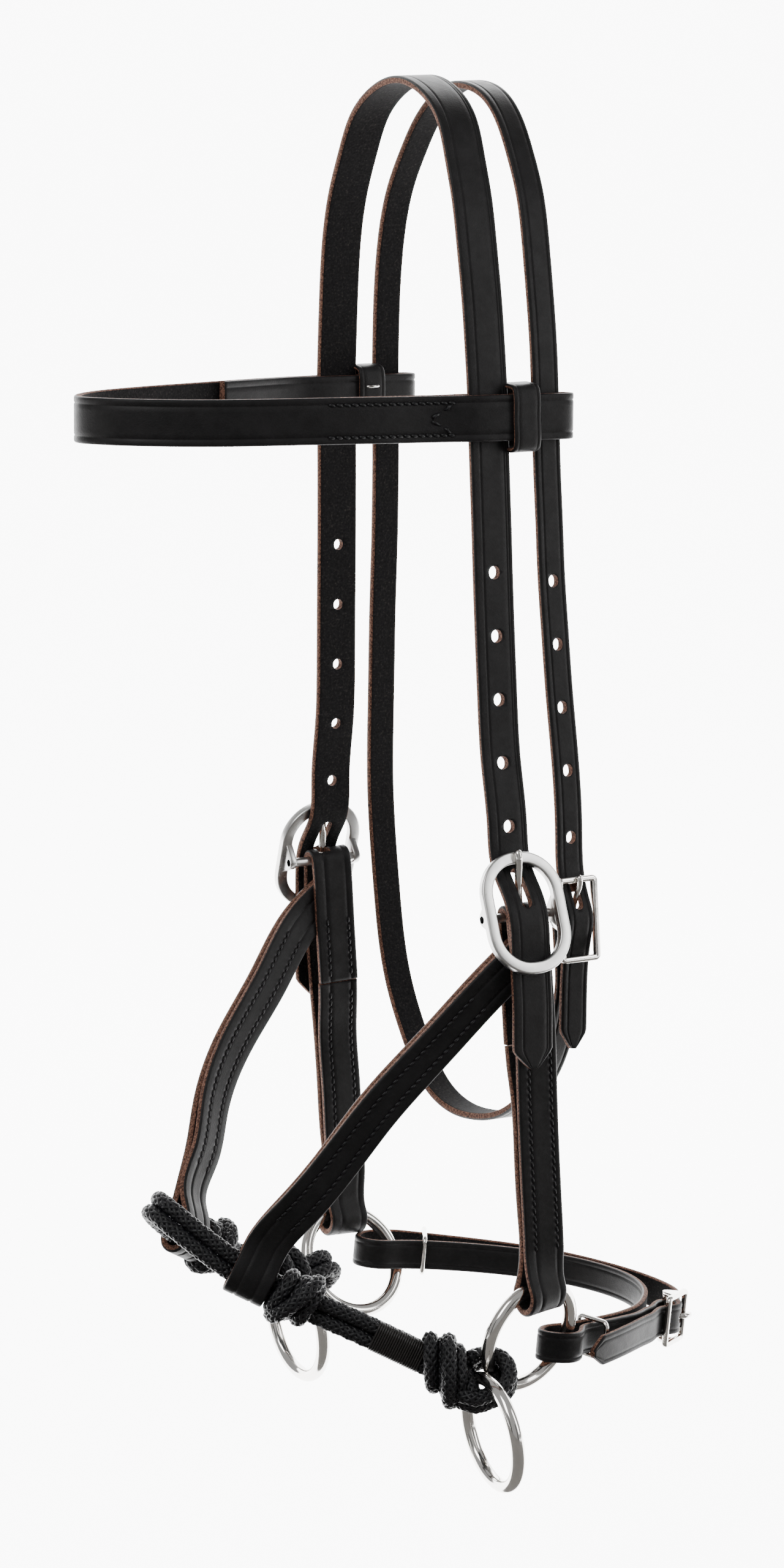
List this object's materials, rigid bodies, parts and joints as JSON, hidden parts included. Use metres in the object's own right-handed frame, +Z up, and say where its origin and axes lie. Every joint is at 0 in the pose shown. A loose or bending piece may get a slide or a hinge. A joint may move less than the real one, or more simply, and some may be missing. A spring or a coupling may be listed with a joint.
{
  "type": "bitless hackamore",
  "caption": "Rope-noseband bitless bridle with leather crown, throatlatch, browband, cheeks and curb strap, and rings for the reins.",
  "frame": {"origin": "the poll seat: underside of the crown strap at the middle of its top", "axes": "+X to the horse's rear, +Y to its far (right) side, +Z up; hanging as worn"},
  "size_m": [0.2685, 0.2108, 0.5711],
  "materials": {
    "strap_leather": "satin black bridle leather, grain side out, brown cut edges, tone-on-tone stitching",
    "keeper_leather": "thin satin black leather loop",
    "satin_buckle_steel": "satin nickel-plated oval buckle",
    "nickel_buckle": "polished nickel plate",
    "nickel_wire": "polished nickel-plated wire",
    "nickel_ring": "polished nickel-plated ring",
    "braided_rope": "black solid-braid cord with a herringbone plait",
    "whipping_thread": "waxed black thread wound closely"
  },
  "bodies": {
    "headstall": {"crown_strap": "strap_leather", "throatlatch_strap": "strap_leather", "throat_buckle": "nickel_buckle", "noseband_rope_upper": "braided_rope", "noseband_rope_lower": "braided_rope", "cheek_buckle_near": "satin_buckle_steel", "cheek_strap_near": "strap_leather", "nose_strap_near": "strap_leather", "ring_knot_near": "braided_rope", "ring_bight_near": "braided_rope", "nose_knot_near": "braided_rope", "whipping_near": "whipping_thread", "cheek_buckle_far": "satin_buckle_steel", "cheek_strap_far": "strap_leather", "nose_strap_far": "strap_leather", "ring_knot_far": "braided_rope", "ring_bight_far": "braided_rope", "nose_knot_far": "braided_rope", "whipping_far": "whipping_thread"},
    "browband": {"browband_strap": "strap_leather", "browband_keeper_near": "keeper_leather", "keeper_staple_near": "nickel_wire", "browband_keeper_far": "keeper_leather", "keeper_staple_far": "nickel_wire"},
    "throat_tongue": {"throat_buckle_tongue": "nickel_wire"},
    "curb": {"curb_strap": "strap_leather", "curb_buckle": "nickel_buckle"},
    "curb_tongue": {"curb_buckle_tongue": "nickel_wire"},
    "wire_keeper_near": {"curb_keeper_near": "nickel_wire"},
    "wire_keeper_far": {"curb_keeper_far": "nickel_wire"},
    "cheek_tongue_near": {"cheek_buckle_tongue_near": "nickel_wire"},
    "ring_near": {"cheek_ring_near": "nickel_ring"},
    "rein_ring_body_near": {"rein_ring_near": "nickel_ring"},
    "cheek_tongue_far": {"cheek_buckle_tongue_far": "nickel_wire"},
    "ring_far": {"cheek_ring_far": "nickel_ring"},
    "rein_ring_body_far": {"rein_ring_far": "nickel_ring"}
  },
  "joints": [
    {"name": "browband_slide", "type": "slide", "parent": "headstall", "child": "browband", "axis": [0, 0, 1], "range_m": [-0.008, 0.004]},
    {"name": "cheek_tongue_hinge_near", "type": "hinge", "parent": "headstall", "child": "cheek_tongue_near", "pos_m": [-0.0004, -0.08206, -0.33125], "axis": [1, 0, 0], "range_deg": [0, 8]},
    {"name": "cheek_ring_spin_near", "type": "hinge", "parent": "headstall", "child": "ring_near", "pos_m": [0.0063, -0.0753, -0.5069], "axis": [0.2225, -0.9342, -0.279], "continuous": true},
    {"name": "cheek_tongue_hinge_far", "type": "hinge", "parent": "headstall", "child": "cheek_tongue_far", "pos_m": [-0.0004, 0.08206, -0.33125], "axis": [-1, 0, 0], "range_deg": [0, 8]},
    {"name": "cheek_ring_spin_far", "type": "hinge", "parent": "headstall", "child": "ring_far", "pos_m": [0.0063, 0.0753, -0.5069], "axis": [-0.1201, 0.8764, -0.4664], "continuous": true},
    {"name": "throat_tongue_hinge", "type": "hinge", "parent": "headstall", "child": "throat_tongue", "pos_m": [0.02786, -0.07548, -0.33592], "axis": [0.9996, 0.03, 0], "range_deg": [0, 8]},
    {"name": "rein_ring_swing_near", "type": "hinge", "parent": "headstall", "child": "rein_ring_body_near", "pos_m": [-0.01889, -0.08279, -0.52039], "axis": [-0.0716, -0.9974, 0], "range_deg": [-15, 15]},
    {"name": "rein_ring_swing_far", "type": "hinge", "parent": "headstall", "child": "rein_ring_body_far", "pos_m": [-0.02207, 0.0771, -0.50961], "axis": [0, -1, 0], "range_deg": [-15, 15]},
    {"name": "curb_swing", "type": "hinge", "parent": "headstall", "child": "curb", "pos_m": [0.0275, 0, -0.5105], "axis": [0.004, 0.9979, 0.064], "range_deg": [-6, 0.5]},
    {"name": "curb_tongue_hinge", "type": "hinge", "parent": "curb", "child": "curb_tongue", "pos_m": [0.09346, -0.03888, -0.519], "axis": [-0.0895, 0.0636, -0.994], "range_deg": [0, 8]},
    {"name": "wire_keeper_slide_near", "type": "slide", "parent": "curb", "child": "wire_keeper_near", "axis": [0.9541, 0.2918, -0.0672], "range_m": [-0.0005, 0.0015]},
    {"name": "wire_keeper_slide_far", "type": "slide", "parent": "curb", "child": "wire_keeper_far", "axis": [0.8767, -0.4685, -0.1089], "range_m": [-0.0005, 0.0015]}
  ]
}
